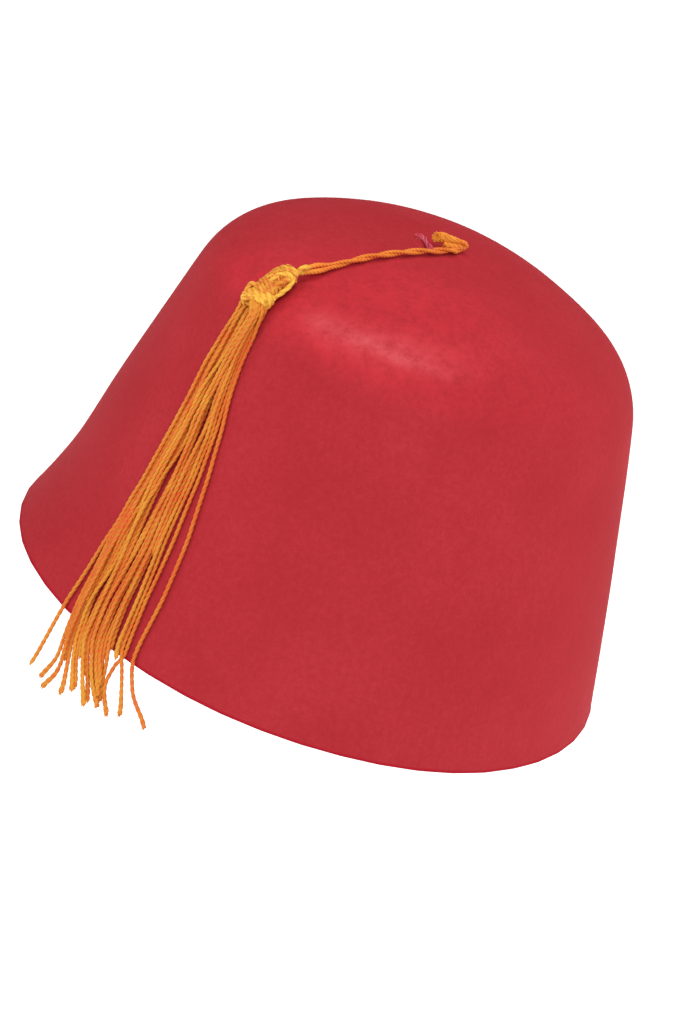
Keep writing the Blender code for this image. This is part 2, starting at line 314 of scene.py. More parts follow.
def feltFinish(look):
    felt = Finish("feltRed", Specular_IOR_Level=0.02, Specular_Tint=(1.0, 0.6, 0.65), Coat_Roughness=0.36)
    place = felt.place()
    clouds = felt.noise(place, look["cloudScale"], 3.0)
    mat = felt.noise(place, look["matScale"], 5.0, 0.7)
    hairs = felt.noise(place, look["hairScale"], 3.0, 0.6)
    strokes = felt.noise(place * look["strokeStretch"], look["strokeScale"], 3.0, 0.6)
    side, depth, height = (felt.node("ShaderNodeSeparateXYZ", sockets={0: place}, take=axis)
                           for axis in "XYZ")
    tone = clouds * 0.35 + mat * 0.45 + hairs * 0.2
    red = felt.ramp(tone, (0.34, look["deep"]), (0.50, look["red"]), (0.68, look["pale"]))
    # the painted highlight and sheen lie only on the front, and only on its outside, where the felt faces
    # away from the middle
    normal = felt.node("ShaderNodeTexCoord", take="Normal")
    facing = felt.node("ShaderNodeVectorMath", {"operation": "DOT_PRODUCT"},
                       {0: normal, 1: place - look["heart"]}, take="Value")
    frontOutside = felt.between(facing, 0.0, 1 * mm) * (1 - felt.between(depth, *look["highlightBack"]))
    patches = felt.noise(place, look["patchScale"], 3.0, 0.6)
    spots = felt.between(patches * 0.6 + mat * 0.4, 0.36, 0.62)
    # paler spots over the front of the shoulder and top, less to the right: painted sheen
    paintedSheen = frontOutside * felt.between(height, *look["sheenFrom"])
    paintedSheen = paintedSheen * (1 - look["sheenLess"] * felt.between(side, *look["sheenRight"]))
    red = felt.mix(paintedSheen * (0.2 + 0.5 * spots), red, look["highlightPale"])
    # along the shoulder a painted highlight: paler colour in grains and small patches, with a coat there
    # that makes it a little glossy
    level = height - side * look["highlightTilt"]
    band = frontOutside * felt.between(level, *look["highlightLow"]) * (1 - felt.between(level, *look["highlightHigh"]))
    band = band * felt.between(side, *look["highlightLeft"]) * (1 - felt.between(side, *look["highlightRight"]))
    highlightShare = band * (0.8 + (patches - 0.5) * 2.2 + (mat - 0.5) * 1.6)
    red = felt.mix(highlightShare, red, look["highlightPale"])
    low = 1 - felt.between(height, *look["scuffedLow"])
    scuffs = felt.between(strokes * 0.6 + felt.noise(place, look["scuffScale"]) * 0.4, 0.52, 0.66) * low
    red = felt.mix(scuffs * look["scuffShare"], red, look["pale"])
    cut = 1 - felt.between(height, *look["cutHeight"])
    red = felt.mix(cut * look["cutShare"], red, look["cutEdge"])
    relief = mat * 0.6 + hairs * 0.25 + strokes * 0.15
    return felt.paint(Base_Color=red, Normal=felt.bump(relief, look["relief"], 0.7),
                      Roughness=0.6 + mat * 0.15, Coat_Weight=highlightShare * look["highlightGloss"])


def makeFeltCrown(look):
    bm = bmesh.new()
    bm.from_mesh(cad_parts["felt_crown"].data)
    bmesh.ops.remove_doubles(bm, verts=bm.verts, dist=look["weld"])
    bmesh.ops.join_triangles(bm, faces=bm.faces, angle_face_threshold=math.radians(look["joinAngle"]),
                             angle_shape_threshold=math.radians(look["cornerAngle"]))
    crease = bm.edges.layers.float.new("crease_edge")
    for edge in bm.edges:
        atRim = all(abs(vert.co.z) < look["rimNear"] for vert in edge.verts)
        edge[crease] = look["rimCrease"] if atRim else 0.0
    mesh = bpy.data.meshes.new("feltCage")
    bm.to_mesh(mesh)
    bm.free()
    crown = addObject("feltCage", mesh)
    smooth = crown.modifiers.new("Smooth", "SUBSURF")
    smooth.levels = smooth.render_levels = look["levels"]
    seen = crown.evaluated_get(bpy.context.evaluated_depsgraph_get())
    fine = bpy.data.meshes.new_from_object(seen)
    bpy.data.objects.remove(crown)
    heart = Vector(look["heart"])
    for vert in fine.vertices:
        out = (vert.co - heart).normalized()
        for length, height in look["waves"]:
            vert.co += out * height * noise.noise(vert.co / length)
    fine.shade_smooth()
    fine.materials.clear()
    fine.materials.append(feltFinish(look))
    crown = addObject("moulded_felt", fine)
    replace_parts(crown, "felt_crown")
    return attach(crown, "root")


moulded = makeFeltCrown(feltCrown)
feltTree = BVHTree.FromObject(moulded, bpy.context.evaluated_depsgraph_get())
print("felt crown:", len(moulded.data.polygons), "faces")


# Places on the felt

farOut = 0.4  # rays start this far from the hat
rimLine = 0.8 * mm  # below this height a place is carried on past the rim
rimSlope = 4.0 * mm
trialMoves = (0.5 * mm, 0.3)  # metres up the wall, and degrees round it
trialRounds = 6


def besideFelt(height, azimuth, lift=0.0):  # azimuth in degrees from the front, towards -X
    turn = math.radians(azimuth)
    out = Vector((-math.sin(turn), -math.cos(turn), 0))

    def onWall(level):
        spot, normal, _, _ = feltTree.ray_cast(out * farOut + Vector((0, 0, level)), -out)
        return spot, normal

    spot, normal = onWall(max(height, rimLine))
    if height < rimLine:
        down = (spot - onWall(rimLine + rimSlope)[0]).normalized()
        spot = spot + down * ((rimLine - height) / abs(down.z))
    return spot + normal * lift


def overTop(x, y, lift=0.0):
    spot, normal, _, _ = feltTree.ray_cast(Vector((x, y, farOut)), Vector((0, 0, -1)))
    return spot + normal * lift


def inPicture(spot):  # the pixel that a place falls on
    seen = toCamera @ spot
    wide, high = cameraSetup["picture"]
    return np.array((wide / 2 - seen.x / seen.z * focalPixels, high / 2 + seen.y / seen.z * focalPixels))


def wallPlace(pixel, lift, guess):
    # the height and azimuth of the place, lifted off the wall, that falls on a pixel
    place = np.array(guess, float)
    steps = np.diag(trialMoves)
    for _ in range(trialRounds):
        here = inPicture(besideFelt(*place, lift))
        moves = [(inPicture(besideFelt(*(place + step), lift)) - here) / step.sum() for step in steps]
        place += np.linalg.solve(np.column_stack(moves), np.array(pixel) - here)
    return place


def middleOf(node):
    low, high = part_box(node)
    return (low + high) / 2


# Thread and cord

def curveThrough(points, steps=8):  # a smooth curve through given points
    points = np.array(points, float)
    ends = np.vstack([2 * points[0] - points[1], points, 2 * points[-1] - points[-2]])
    t = np.linspace(0, 1, steps, endpoint=False)[:, None]
    parts = []
    for before, start, stop, after in zip(ends, ends[1:], ends[2:], ends[3:]):
        slope, curl = stop - before, 2 * before - 5 * start + 4 * stop - after
        parts.append(start + (slope * t + curl * t**2 + (3 * (start - stop) + after - before) * t**3) / 2)
    return np.vstack([*parts, points[-1:]])


def wayAlong(line):
    return np.concatenate([[0], np.cumsum(np.linalg.norm(np.diff(line, axis=0), axis=1))])


def evenly(line, spacing):
    along = wayAlong(line)
    want = np.linspace(0, along[-1], max(3, round(along[-1] / spacing) + 1))
    return np.column_stack([np.interp(want, along, line[:, i]) for i in range(3)])


def unit(rows):
    return rows / np.maximum(np.linalg.norm(rows, axis=-1, keepdims=True), 1e-12)


def carriedFrames(line):  # two directions across the line that don't spin as it bends
    ahead = unit(np.gradient(line, axis=0))
    side = np.cross(ahead[0], (0.3, 0.5, 0.8))
    sides = []
    for way in ahead:
        side = side - way * side.dot(way)
        side = side / math.sqrt(side.dot(side))
        sides.append(side)
    sides = np.array(sides)
    return sides, np.cross(ahead, sides)


def restingFrames(line):  # across the felt, and straight off it
    ahead = unit(np.gradient(line, axis=0))
    off = np.array([feltTree.find_nearest(Vector(p))[1] for p in line])
    off = unit(off - ahead * np.sum(off * ahead, axis=1, keepdims=True))
    return np.cross(off, ahead), off


def ringsRound(line, reach, angle):  # points round the line, a ring of them at each of its points
    side, over = carriedFrames(line)
    return (line[:, None] + (reach * np.cos(angle))[..., None] * side[:, None]
            + (reach * np.sin(angle))[..., None] * over[:, None])


def windRound(line, reach, angle):  # a line that winds round another
    return ringsRound(line, reach[:, None], angle[:, None])[:, 0]


def spreadOver(value, count):  # one value throughout, or a table's: shares of the way, and values there
    return np.full(count, value) if np.ndim(value) == 0 else np.interp(np.linspace(0, 1, count), *value)


class Yarn:
    # gathers threads into one mesh, with each point's crest and tone for the finish
    plyMiddle, plyReach = 0.21, 0.79  # where the two plies of a thread lie, as shares of its radius
    plainCrest = 0.8  # the crest of a filament, which has no plies
    hairShare, hairMost = 0.22, 0.18 * mm  # a frayed end's hairs: their share of its radius, and the most

    def __init__(self):
        self.points, self.faces, self.crests, self.tones = [], [], [], []
        self.count = 0

    def skin(self, rings, crest, tone):
        rounds, sides = rings.shape[:2]
        start = self.count + np.arange(rounds)[:, None] * sides
        here, there = np.arange(sides), (np.arange(sides) + 1) % sides
        low, high = start[:-1], start[1:]
        quads = np.stack([low + here, low + there, high + there, high + here], axis=-1)
        self.faces += quads.reshape(-1, 4).tolist()
        self.faces.append((self.count + here)[::-1].tolist())
        self.faces.append((start[-1] + here).tolist())
        self.points.append(rings.reshape(-1, 3))
        self.crests.append(np.broadcast_to(crest, (rounds, sides)).ravel())
        self.tones.append(np.broadcast_to(np.reshape(tone, (-1, 1)), (rounds, sides)).ravel())
        self.count += rounds * sides

    def twist(self, line, radius, pitch, tone, turn=0.0, sides=8, perTurn=8, bulk=1.0):
        # a two-ply thread: the outline of its plies, turned as it goes along the line
        line = evenly(line, pitch / perTurn)
        around = np.linspace(0, fullTurn, sides, endpoint=False)
        outline = self.plyMiddle * abs(np.cos(around)) + np.sqrt(
            self.plyReach**2 - (self.plyMiddle * np.sin(around)) ** 2
        )
        angle = turn + (np.arange(len(line)) * fullTurn / perTurn)[:, None] + around
        reach = radius * spreadOver(bulk, len(line))[:, None] * outline
        crest = (outline - outline.min()) / (1 - outline.min())
        self.skin(ringsRound(line, reach, angle), crest, spreadOver(tone, len(line)))

    def hair(self, line, radius, tone, sides=5, tip=0.5):  # one plain filament
        around = np.linspace(0, fullTurn, sides, endpoint=False)
        reach = radius * np.linspace(1, tip, len(line))[:, None]
        self.skin(ringsRound(line, reach, around), self.plainCrest, tone)

    def fray(self, line, radius, tone, hairs, length, spread):
        # the end of a thread, opened into filaments that start inside it and bend apart
        end, way = line[-1], unit(line[-1] - line[-3])
        thin = min(radius * self.hairShare, self.hairMost)
        for _ in range(hairs):
            aside = chance.normal(size=3)
            aside = unit(aside - way * aside.dot(way))
            reach = length * chance.uniform(0.5, 1.0)
            t = np.linspace(0, 1, 6)[:, None]
            root = end - way * 0.4 * length + aside * radius * 0.35
            tuft = root + way * reach * 1.4 * t + aside * spread * reach * chance.uniform(0.2, 1) * t**2
            self.hair(tuft, thin, tone + chance.uniform(-0.1, 0.15))

    def piece(self, name, material):
        made = addMesh(name, np.vstack(self.points).tolist(), self.faces, material)
        for label, values in (("crest", self.crests), ("tone", self.tones)):
            layer = made.data.attributes.new(label, "FLOAT", "POINT")
            layer.data.foreach_set("value", np.concatenate(values).astype(np.float32))
        made.data.shade_smooth()
        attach(made, "root")
        print(name + ":", len(made.data.polygons), "faces")
        return made


threadLook = {
    "tint": (1.0, 0.85, 0.6),
    "fineScale": 2400.0,  # the grain of the filaments
    "slowScale": 160.0,  # paler and darker stretches of a thread
    # the crest's share paints shade in the valleys between the plies and highlight on the crests
    "crestShare": 0.36,  # how far each of these goes into the colour, between valley and crest
    "toneShare": 0.5,
    "fineShare": 0.35,
    "slowShare": 0.8,
    "relief": 0.06 * mm,
}


def threadFinish(name, shadedValley, middle, crest, gloss, look=threadLook):
    # rayon thread: darker between the plies and paler on their crests, painted shade and highlight, and each
    # thread a little different
    thread = Finish(name, Specular_IOR_Level=gloss, Specular_Tint=look["tint"])
    place = thread.place()
    fine = thread.noise(place, look["fineScale"], 3.0, 0.6)
    slow = thread.noise(place, look["slowScale"], 2.0)
    share = (thread.attribute("crest") * look["crestShare"] + thread.attribute("tone") * look["toneShare"]
             + (fine - 0.3) * look["fineShare"] + (slow - 0.5) * look["slowShare"])
    colour = thread.ramp(share, (0.12, shadedValley), (0.50, middle), (0.95, crest))
    return thread.paint(Base_Color=colour, Roughness=0.45 + fine * 0.2,
                        Normal=thread.bump(fine, look["relief"], 0.6))


# each gold finish: the valley colour is painted shade, the crest colour painted highlight
goldThread = threadFinish("goldThread", shade(224, 92, 45), shade(222, 123, 49), shade(228, 158, 57), 0.2)
goldCord = threadFinish("goldCord", shade(214, 88, 44), shade(230, 126, 50), shade(242, 162, 62), 0.2)
goldWrap = threadFinish("goldWrap", shade(200, 76, 40), shade(218, 128, 50), shade(242, 190, 74), 0.2)
print("thread finishes made")


# Cord on the top

# points as in the part's source: x, y and z in metres
cordRoute = (
    (0.0006, -0.0092, 0.1222),
    (-0.0026, -0.0129, 0.1219),
    (-0.0059, -0.0161, 0.1215),
    (-0.0094, -0.0193, 0.1209),
    (-0.0129, -0.0224, 0.1201),
    (-0.0165, -0.0255, 0.1191),
    (-0.0201, -0.0286, 0.1179),
    (-0.0237, -0.0318, 0.1164),
    (-0.0270, -0.0348, 0.1148),
    (-0.0302, -0.0375, 0.1133),
    (-0.0331, -0.0399, 0.1120),
    (-0.0357, -0.0420, 0.1111),
    (-0.0376, -0.0438, 0.1105),
)

tasselCord = {
    "diameter": 2.0 * mm,
    "plyRadius": 0.58 * mm,
    "plyOffset": 0.46 * mm,
    "pitch": 17.0 * mm,
    "plyPitch": 2.2 * mm,
    "plyTurn": 1.3,  # how far the second ply's own twist starts round from the first's
    "step": 0.3 * mm,
    "pathStep": 1.0 * mm,
    "partFrom": 13.0 * mm,  # before the knot, where the plies part
    "partTurns": 4.0 * mm,  # and how far on they have turned to lie side by side
    "partMiddle": 6.0 * mm,
    "partLong": 3.2 * mm,
    "partWide": 0.5 * mm,
    "partTilt": 0.4,  # how far the back ply is turned up off the felt there
    "partLift": 0.35 * mm,
    "partSwell": 0.35,  # and how much looser the plies' own twist is
    "tones": ((0.0, 0.82, 0.9, 1.0), (0.5, 0.5, 0.9, 1.2)),
}


def twoPlies(yarn, line, look, tone, parting=False, onFelt=True, swell=None):
    line = evenly(line, look["step"])
    side, off = restingFrames(line) if onFelt else carriedFrames(line)
    along = wayAlong(line)
    turning = along / look["pitch"] * fullTurn
    offset, bulk = np.full(len(line), look["plyOffset"]), np.ones(len(line))
    if swell is not None:
        offset = offset * np.interp(along / along[-1], *swell)
    if parting:
        left = along[-1] - along
        stay = np.interp(look["partFrom"], left[::-1], turning[::-1])
        flat = round(stay / math.pi) * math.pi - look["partTilt"]  # nearly side by side on the felt
        share = np.clip((look["partFrom"] - left) / look["partTurns"], 0, 1)
        turning = turning * (1 - share) + flat * share
        parted = np.exp(-(((left - look["partMiddle"]) / look["partLong"]) ** 2))
        offset += look["partWide"] * parted
        bulk += look["partSwell"] * parted
        line = line + off * (look["partLift"] * parted)[:, None]
    for ply in (0, 1):
        angle = (turning + math.pi * ply)[:, None]
        path = line + offset[:, None] * (side * np.cos(angle) + off * np.sin(angle))
        yarn.twist(path, look["plyRadius"], look["plyPitch"], tone, turn=look["plyTurn"] * ply,
                   sides=10, perTurn=10, bulk=(along / along[-1], bulk))


def makeTasselCord(look):
    yarn = Yarn()
    line = curveThrough(cordRoute)
    twoPlies(yarn, line, look, look["tones"], parting=True)
    made = yarn.piece("twisted_cord", goldCord)
    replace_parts(made, "tassel_cord")
    return made, evenly(line, look["pathStep"])


twistedCord, cordLine = makeTasselCord(tasselCord)


# Folded end of the cord

endFold = {
    # x, y and lift off the felt, millimetres, from the tip to where the free cord starts
    "points": ((-4.7, -9.2, 3.6), (-4.1, -8.6, 3.6), (-3.2, -7.8, 3.5), (-1.8, -7.1, 3.3), (-0.3, -6.2, 3.2),
               (1.3, -5.5, 3.2), (2.5, -5.1, 3.1), (3.2, -4.6, 2.7), (3.3, -4.3, 2.0), (3.0, -4.7, 1.4),
               (2.1, -6.0, 1.2), (1.2, -7.6, 1.1), (0.6, -9.2, 1.2)),
    # shares of the way, and how far the plies open there
    "swell": ((0.0, 0.15, 0.4, 0.55, 1.0), (1.5, 1.6, 1.2, 0.9, 0.85)),
    "tones": ((0.0, 0.2, 0.35, 1.0), (1.7, 1.3, 0.8, 0.5)),
    # the run between the upper and the lower one
    "between": ((3.0, -4.7, 1.9), (2.0, -5.5, 1.9), (1.1, -6.3, 1.8), (-0.3, -7.7, 1.8), (-1.7, -8.9, 1.9),
                (-2.9, -9.4, 2.1)),
    "betweenRadius": 1.0 * mm,
    "betweenPitch": 3.4 * mm,
    "betweenTone": 0.8,
    "loosePart": 6 / 11,  # of the fold, from its tip, has loose threads round it
    "looseThreads": 24,
    "looseReach": 1.35 * mm,
    "looseShape": ((0, 0.2, 0.5, 1), (1.1, 1.1, 0.7, 0.4)),
    "looseRadius": 0.2 * mm,
    "looseStep": 0.5 * mm,
    "hairs": 110,
    "hairsFrom": 1.7 * mm,
    "hairLength": 1.5 * mm,
    "hairSpread": 0.9,
    "hairTone": 1.6,
}

paleStitch = {
    "points": ((-11.2, -6.6, 0.2), (-10.0, -6.4, 0.6), (-8.8, -7.0, 0.9), (-8.0, -9.2, 1.1),
               (-7.2, -11.5, 1.4), (-6.4, -13.9, 1.9), (-5.6, -14.8, 1.6), (-5.2, -15.3, 1.0)),
    "step": 0.3 * mm,
    "threads": 11,
    "radius": 0.13 * mm,
    "pitch": 0.8 * mm,
    "apart": 0.62 * mm,
    "waist": 0.55,  # how much of that is left in the middle, and how fast it grows towards the ends
    "flare": 1.6,
    "tones": ((0.0, 0.35, 0.6, 1.0), (0.0, 0.9, 1.0, 0.5)),
}


def throughTop(points):
    return curveThrough([overTop(x * mm, y * mm, lift * mm) for x, y, lift in points])


def makeEndFold(look):
    yarn = Yarn()
    line = throughTop(look["points"])
    twoPlies(yarn, line, tasselCord, look["tones"], onFelt=False, swell=look["swell"])
    yarn.fray(line[::-1], look["hairsFrom"], look["hairTone"], look["hairs"], look["hairLength"],
              look["hairSpread"])
    yarn.twist(throughTop(look["between"]), look["betweenRadius"], look["betweenPitch"], look["betweenTone"],
               sides=10, perTurn=12)
    # threads that have come loose from the folded run
    loose = evenly(line[: int(len(line) * look["loosePart"])], look["looseStep"])
    t = np.linspace(0, 1, len(loose))
    for _ in range(look["looseThreads"]):
        start, turn = chance.uniform(0, fullTurn), chance.uniform(2.0, 5.0)
        reach = look["looseReach"] * chance.uniform(0.6, 1.0) * np.interp(t, *look["looseShape"])
        wound = windRound(loose, reach, start + turn * t)
        yarn.hair(wound, look["looseRadius"], chance.uniform(0.7, 1.3), tip=1.0)
    made = yarn.piece("folded_cord_end", goldCord)
    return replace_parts(made, "cord_end_fold")


def makePaleStitch(look):
    yarn = Yarn()
    line = evenly(throughTop(look["points"]), look["step"])
    t = np.linspace(0, 1, len(line))
    reach = look["apart"] * (look["waist"] + look["flare"] * np.abs(t - 0.5))
    for _ in range(look["threads"]):
        start, turn = chance.uniform(0, fullTurn), chance.uniform(3.0, 7.0)
        wound = windRound(line, reach, start + turn * t)
        yarn.twist(wound, look["radius"], look["pitch"], look["tones"], turn=start, sides=6, perTurn=6)
    # the valley colour is painted shade, the crest colour painted highlight
    thread = threadFinish("paleThread", shade(198, 66, 84), shade(214, 86, 108), shade(228, 116, 136), 0.1)
    yarn.piece("pale_stitch", thread)


foldedEnd = makeEndFold(endFold)
makePaleStitch(paleStitch)


# Knot and binding

def tasselFrame():  # the felt under the knot, and the ways down, across and off it there
    knot, neck = middleOf("tassel_knot"), middleOf("neck_binding")
    off = feltTree.find_nearest(knot)[1]
    down = neck - knot
    down = (down - off * down.dot(off)).normalized()
    return np.array(down), np.array(off.cross(down)), np.array(off)


tasselDown, tasselAcross, tasselOff = tasselFrame()

tasselKnot = {
    "poleReach": 0.95,  # how near to its ends the core is wound, as a share of its half-length
    "coreHalf": (5.1 * mm, 3.35 * mm, 2.95 * mm),
    "coreThread": 0.55 * mm,
    "corePitch": 3.0 * mm,
    "coreTurns": 19,
    # the core is darker: painted shade in the gaps between the ropes
    "coreTone": 0.25,
    "fineHalf": (5.6 * mm, 3.9 * mm, 3.5 * mm),
    "fineThreads": 18,
    "fineRadius": 0.2 * mm,
    "fineSlant": 0.5,
    "ropeRadius": 0.8 * mm,
    "ropePitch": 5.0 * mm,
    "ropeTurn": 1.9,  # how far round the twist of each rope starts from that of the one before
    # rope tones: partly each rope's own, partly painted highlight on the paler ropes on top and painted
    # shade on the low ones
    "ropeTones": (0.9, 1.15, 0.6, 0.85, 0.4, 0.3, 1.0, 0.8),
    # along the tassel's own ways, in millimetres: down, across and off the felt, from the knot's middle
    "ropes": (
        ((-6.4, 1.7, -0.9), (-4.9, 1.6, 0.5), (-3.8, 0.9, 1.8), (-2.7, -0.3, 2.5), (-1.2, -1.3, 2.5),
         (0.8, -2.1, 1.9), (2.9, -2.6, 1.0), (4.8, -2.5, 0.2), (6.6, -2.2, -0.7)),
        ((6.6, 1.0, 0.7), (4.4, 1.1, 2.0), (2.2, 0.9, 2.7), (0.1, 1.2, 2.9), (-1.6, 2.3, 2.3),
         (-2.2, 3.3, 1.1), (-0.8, 4.0, 0.1), (1.6, 4.1, -0.4), (3.8, 3.8, -0.8), (6.2, 3.0, -1.3)),
        ((-2.9, 3.0, 0.2), (-1.0, 3.3, 1.2), (1.2, 2.9, 1.9), (3.2, 2.8, 1.6), (5.4, 2.4, 0.7),
         (6.8, 2.0, 0.0)),
        ((-4.4, 1.9, 0.1), (-3.6, 2.3, 0.9), (-2.5, 1.0, 2.1), (-0.6, -0.2, 2.7), (1.6, -0.6, 2.7),
         (3.8, -0.8, 2.1), (6.0, -0.9, 0.8)),
        ((-2.6, -2.2, 0.9), (-1.2, -3.0, 0.7), (0.8, -3.5, 0.2), (2.9, -3.2, -0.3), (4.7, -2.3, -0.9)),
        ((-4.3, 0.3, 0.0), (-3.5, -1.1, 0.3), (-2.2, -2.6, -0.3), (0.2, -3.4, -1.0), (2.6, -3.2, -1.5)),
        # a curl of the cord where it goes in, and a bend of rope that stands up beside the neck
        ((-5.4, 1.5, 0.2), (-6.5, 1.9, 0.9), (-7.5, 2.0, 0.8), (-8.2, 1.8, 0.1), (-8.5, 1.7, -0.7)),
        ((6.1, -1.2, 1.5), (6.6, -2.6, 1.5), (7.2, -3.6, 1.4), (8.2, -3.9, 0.8), (9.6, -3.6, -0.5)),
    ),
    # bands wound round the bundle: how far down from the knot's middle, half across, half off the felt,
    # how far off it in the middle, turns, length and tone
    "bands": (
        (4.3 * mm, 3.0 * mm, 2.5 * mm, -0.1 * mm, 1.6, 1.3 * mm, 0.45),
        (6.3 * mm, 2.6 * mm, 2.3 * mm, -0.5 * mm, 1.6, 1.5 * mm, 0.6),
    ),
    "bandStart": -0.6,
}

neckBinding = {
    # half across, half off the felt, how far down from the middle of the node, turns, length and tone
    "windings": (
        (4.1 * mm, 2.2 * mm, 1.2 * mm, 2.8, 2.2 * mm, 1.0),
        (3.6 * mm, 1.8 * mm, 2.2 * mm, 3.2, 2.2 * mm, 1.2),
        (2.5 * mm, 1.4 * mm, 2.1 * mm, 3.6, 2.8 * mm, 0.8),
    ),
    "tilt": 1.4 * mm,  # how much further down the left side is
    "ropeRadius": 0.66 * mm,
    "ropePitch": 4.4 * mm,
}


def inTassel(middle, down, across, off):  # places given along the tassel's own directions
    return (np.array(middle) + np.outer(down, tasselDown) + np.outer(across, tasselAcross)
            + np.outer(off, tasselOff))


def onOval(middle, down, wide, thick, angle, lift=0.0):  # and places on ovals round its way down
    return inTassel(middle, down, wide * np.cos(angle), lift + thick * np.sin(angle))


def onEgg(middle, half, down, angle):  # places on an egg, from -1 at its top to 1 at its foot
    long, wide, thick = half
    shrink = np.sqrt(1 - down**2)
    return onOval(middle, long * down, wide * shrink, thick * shrink, angle)


def rope(yarn, line, look, tone, turn=0.0):
    yarn.twist(line, look["ropeRadius"], look["ropePitch"], tone, turn=turn, sides=12, perTurn=14)


def makeTasselKnot(look):
    yarn = Yarn()
    middle, pole = middleOf("tassel_knot"), look["poleReach"]
    t = np.linspace(0, 1, 60 * look["coreTurns"])
    wound = onEgg(middle, look["coreHalf"], -pole * np.cos(math.pi * t), fullTurn * look["coreTurns"] * t)
    yarn.twist(wound, look["coreThread"], look["corePitch"], look["coreTone"])
    t = np.linspace(0, 1, 40)
    for _ in range(look["fineThreads"]):  # thin threads that have come loose, wound slantwise over the ropes
        half = np.array(look["fineHalf"]) * chance.uniform(0.9, 1.02)
        start, slant = chance.uniform(0, fullTurn), chance.uniform(-look["fineSlant"], look["fineSlant"])
        angle = start + fullTurn * chance.uniform(0.3, 0.6) * t
        down = np.clip(chance.uniform(-0.7, 0.7) + slant * np.cos(angle - start), -pole, pole)
        yarn.hair(onEgg(middle, half, down, angle), look["fineRadius"], chance.uniform(0.6, 1.2), tip=1.0)
    for i, (points, tone) in enumerate(zip(look["ropes"], look["ropeTones"])):
        line = curveThrough(inTassel(middle, *(np.array(points).T * mm)))
        rope(yarn, line, look, tone, look["ropeTurn"] * i)
    t = np.linspace(0, 1, 60)
    for start, wide, thick, lift, turns, long, tone in look["bands"]:
        angle = fullTurn * turns * t + look["bandStart"]
        rope(yarn, onOval(middle, start + long * (t - 0.5), wide, thick, angle, lift), look, tone)
    made = yarn.piece("wound_knot", goldWrap)
    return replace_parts(made, "tassel_knot")


def makeNeckBinding(look):
    yarn = Yarn()
    middle = middleOf("neck_binding")
    t = np.linspace(0, 1, 120)
    for wide, thick, start, turns, long, tone in look["windings"]:
        angle = fullTurn * turns * t
        down = start + long * (t - 0.5) - look["tilt"] * np.cos(angle)
        rope(yarn, onOval(middle, down, wide, thick, angle), look, tone)
    made = yarn.piece("neck_winding", goldWrap)
    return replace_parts(made, "neck_binding")


woundKnot = makeTasselKnot(tasselKnot)
neckWinding = makeNeckBinding(neckBinding)


# Strands of the tassel

skirt = {
    "threadRadius": 0.64 * mm,
    "pitch": 3.9 * mm,
    "stationGap": 1.8 * mm,
    "searchStep": 0.2 * mm,
    "lowest": -21.0 * mm,
    "azimuth": 36.0,  # of the fan's middle at the rim, in degrees, and how much more it is 100 mm higher
    "azimuthTurn": 4.0,
    "azimuthGuess": 40.0,
    "touch": 0.25 * mm,  # between the felt and the lowest strand
    "pins": 2,  # stations at the head whose strands stay where the bundle has them
    "neckHalf": (4.2 * mm, 2.2 * mm),
    "neckLeft": 0.4 * mm,  # how far the bundle's middle is left of the binding's
    "neckFlat": 0.8,  # how much thinner the bundle gets to its sides
    "rootLong": 3.0 * mm,  # the strands go on into the binding, and draw together there
    "rootSpread": 0.55,
    "liftGuess": 1.6 * mm,
    "layerSpread": 0.2,
    "settled": 8,  # stations from the head to where the strands lie on the felt
    "topGrip": 0.5,  # how firmly the strands that show, and those under them, keep to their places
    "underGrip": 0.25,
    # strands under those that show get a darker tone: painted shade
    "underShade": 0.7,
    "squash": 0.84,  # how near two strands come, as a share of their thickness
    # the rounds in which the strands settle, and how far they fall, straighten and part in each
    "rounds": 160,
    "fall": 0.02 * mm,
    "straighten": 0.2,
    "part": 0.42,
    # shares of the way, and how much paler a strand is there
    "tonesAlong": ((0.0, 0.03, 0.1, 0.85, 1.0), (0.8, 0.5, 0.0, 0.0, 0.4)),
    "swell": 1.35,  # the last of a strand, where it untwists
    "swellLong": 8.0 * mm,
    "hairs": 12,
    "hairLength": 0.8 * mm,
    "hairSpread": 0.35,
    "hairPaler": 0.3,
}
